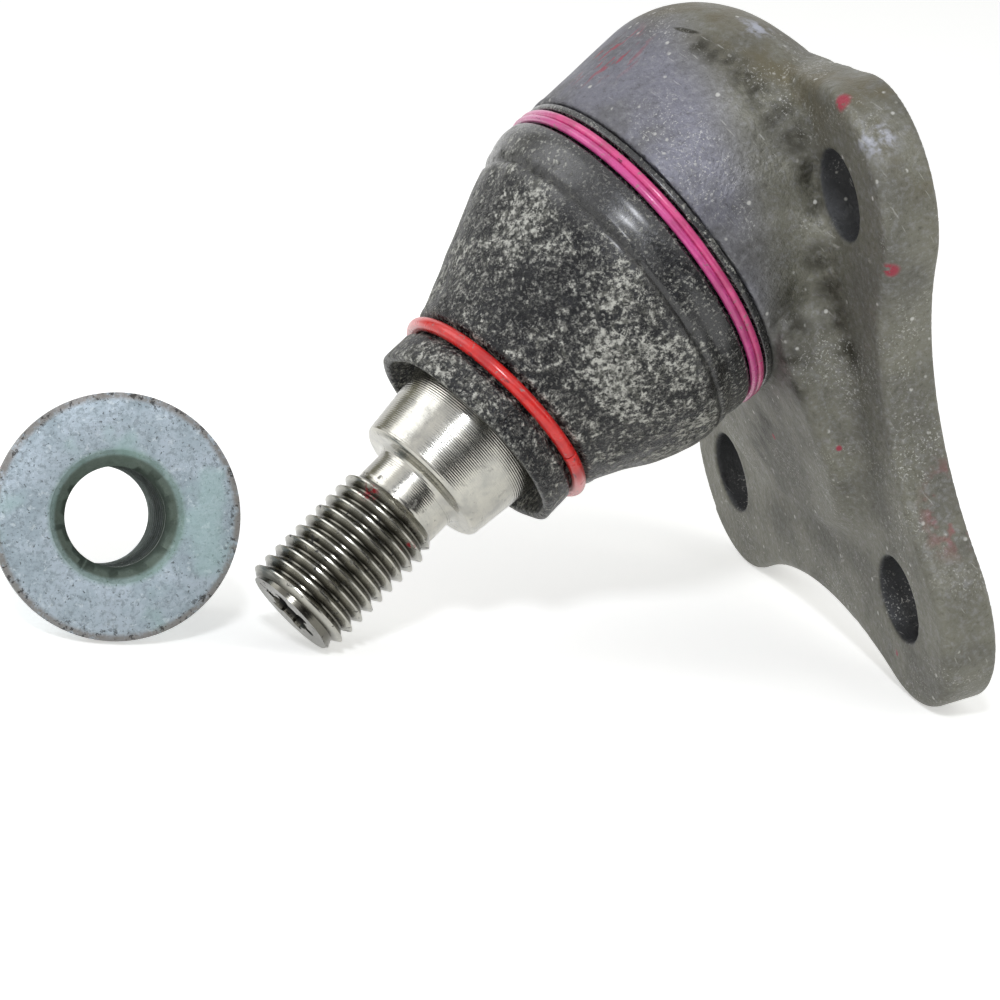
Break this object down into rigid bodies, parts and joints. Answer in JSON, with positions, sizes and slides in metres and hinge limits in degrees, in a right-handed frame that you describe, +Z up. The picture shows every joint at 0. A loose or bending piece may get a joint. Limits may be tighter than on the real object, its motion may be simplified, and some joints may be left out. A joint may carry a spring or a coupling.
{
  "type": "suspension ball joint",
  "caption": "Suspension ball joint: four-eared mounting flange with an inclined cup, rubber boot with clamp rings, tapered threaded ball stud, and a loose flange nut.",
  "frame": {"origin": "centre of the four bolt holes, on the mounting face", "axes": "+Z up as the joint lies on a table, on its two lower ears and the tip of its stud; +Y across the flange; +X out of the back, 17.9 degrees below the mounting face's outward normal"},
  "size_m": [0.1031, 0.0722, 0.0693],
  "materials": {
    "forged_steel": "phosphated forging, matt, lightly pitted",
    "turned_steel": "turned bright",
    "ring_steel": "plain",
    "bearing_plastic": "moulded, natural",
    "boot_rubber": "matt black rubber with dried dirt",
    "pink_wire": "glossy magenta coating",
    "red_wire": "glossy red coating",
    "zinc_steel": "zinc plated, blue-grey, worn"
  },
  "bodies": {
    "housing": {"housing_forging": "forged_steel", "bearing_shell": "bearing_plastic", "closing_ring": "ring_steel", "boot_ring_large": "pink_wire"},
    "boot": {"sealing_boot": "boot_rubber"},
    "collar": {"boot_ring_small": "red_wire"},
    "stud": {"ball_stud": "turned_steel"},
    "nut": {"flange_nut": "zinc_steel"}
  },
  "joints": [
    {"name": "stud_swing", "type": "hinge", "parent": "housing", "child": "boot", "pos_m": [-0.01793, 0, 0.01285], "axis": [-0.1683, -0.8912, 0.4212], "range_deg": [-22.34, 12.66], "deforming": ["sealing_boot"]},
    {"name": "stud_rock", "type": "hinge", "parent": "boot", "child": "collar", "pos_m": [-0.01793, 0, 0.01285], "axis": [-0.698, 0.4095, 0.5875], "range_deg": [-17.5, 17.5], "deforming": ["sealing_boot"]},
    {"name": "stud_spin", "type": "hinge", "parent": "collar", "child": "stud", "pos_m": [-0.01793, 0, 0.01285], "axis": [-0.696, -0.1951, -0.691], "continuous": true},
    {"name": "nut_lift", "type": "slide", "parent": "collar", "child": "nut", "axis": [0, 0, 1], "range_m": [0, 0.05]}
  ]
}
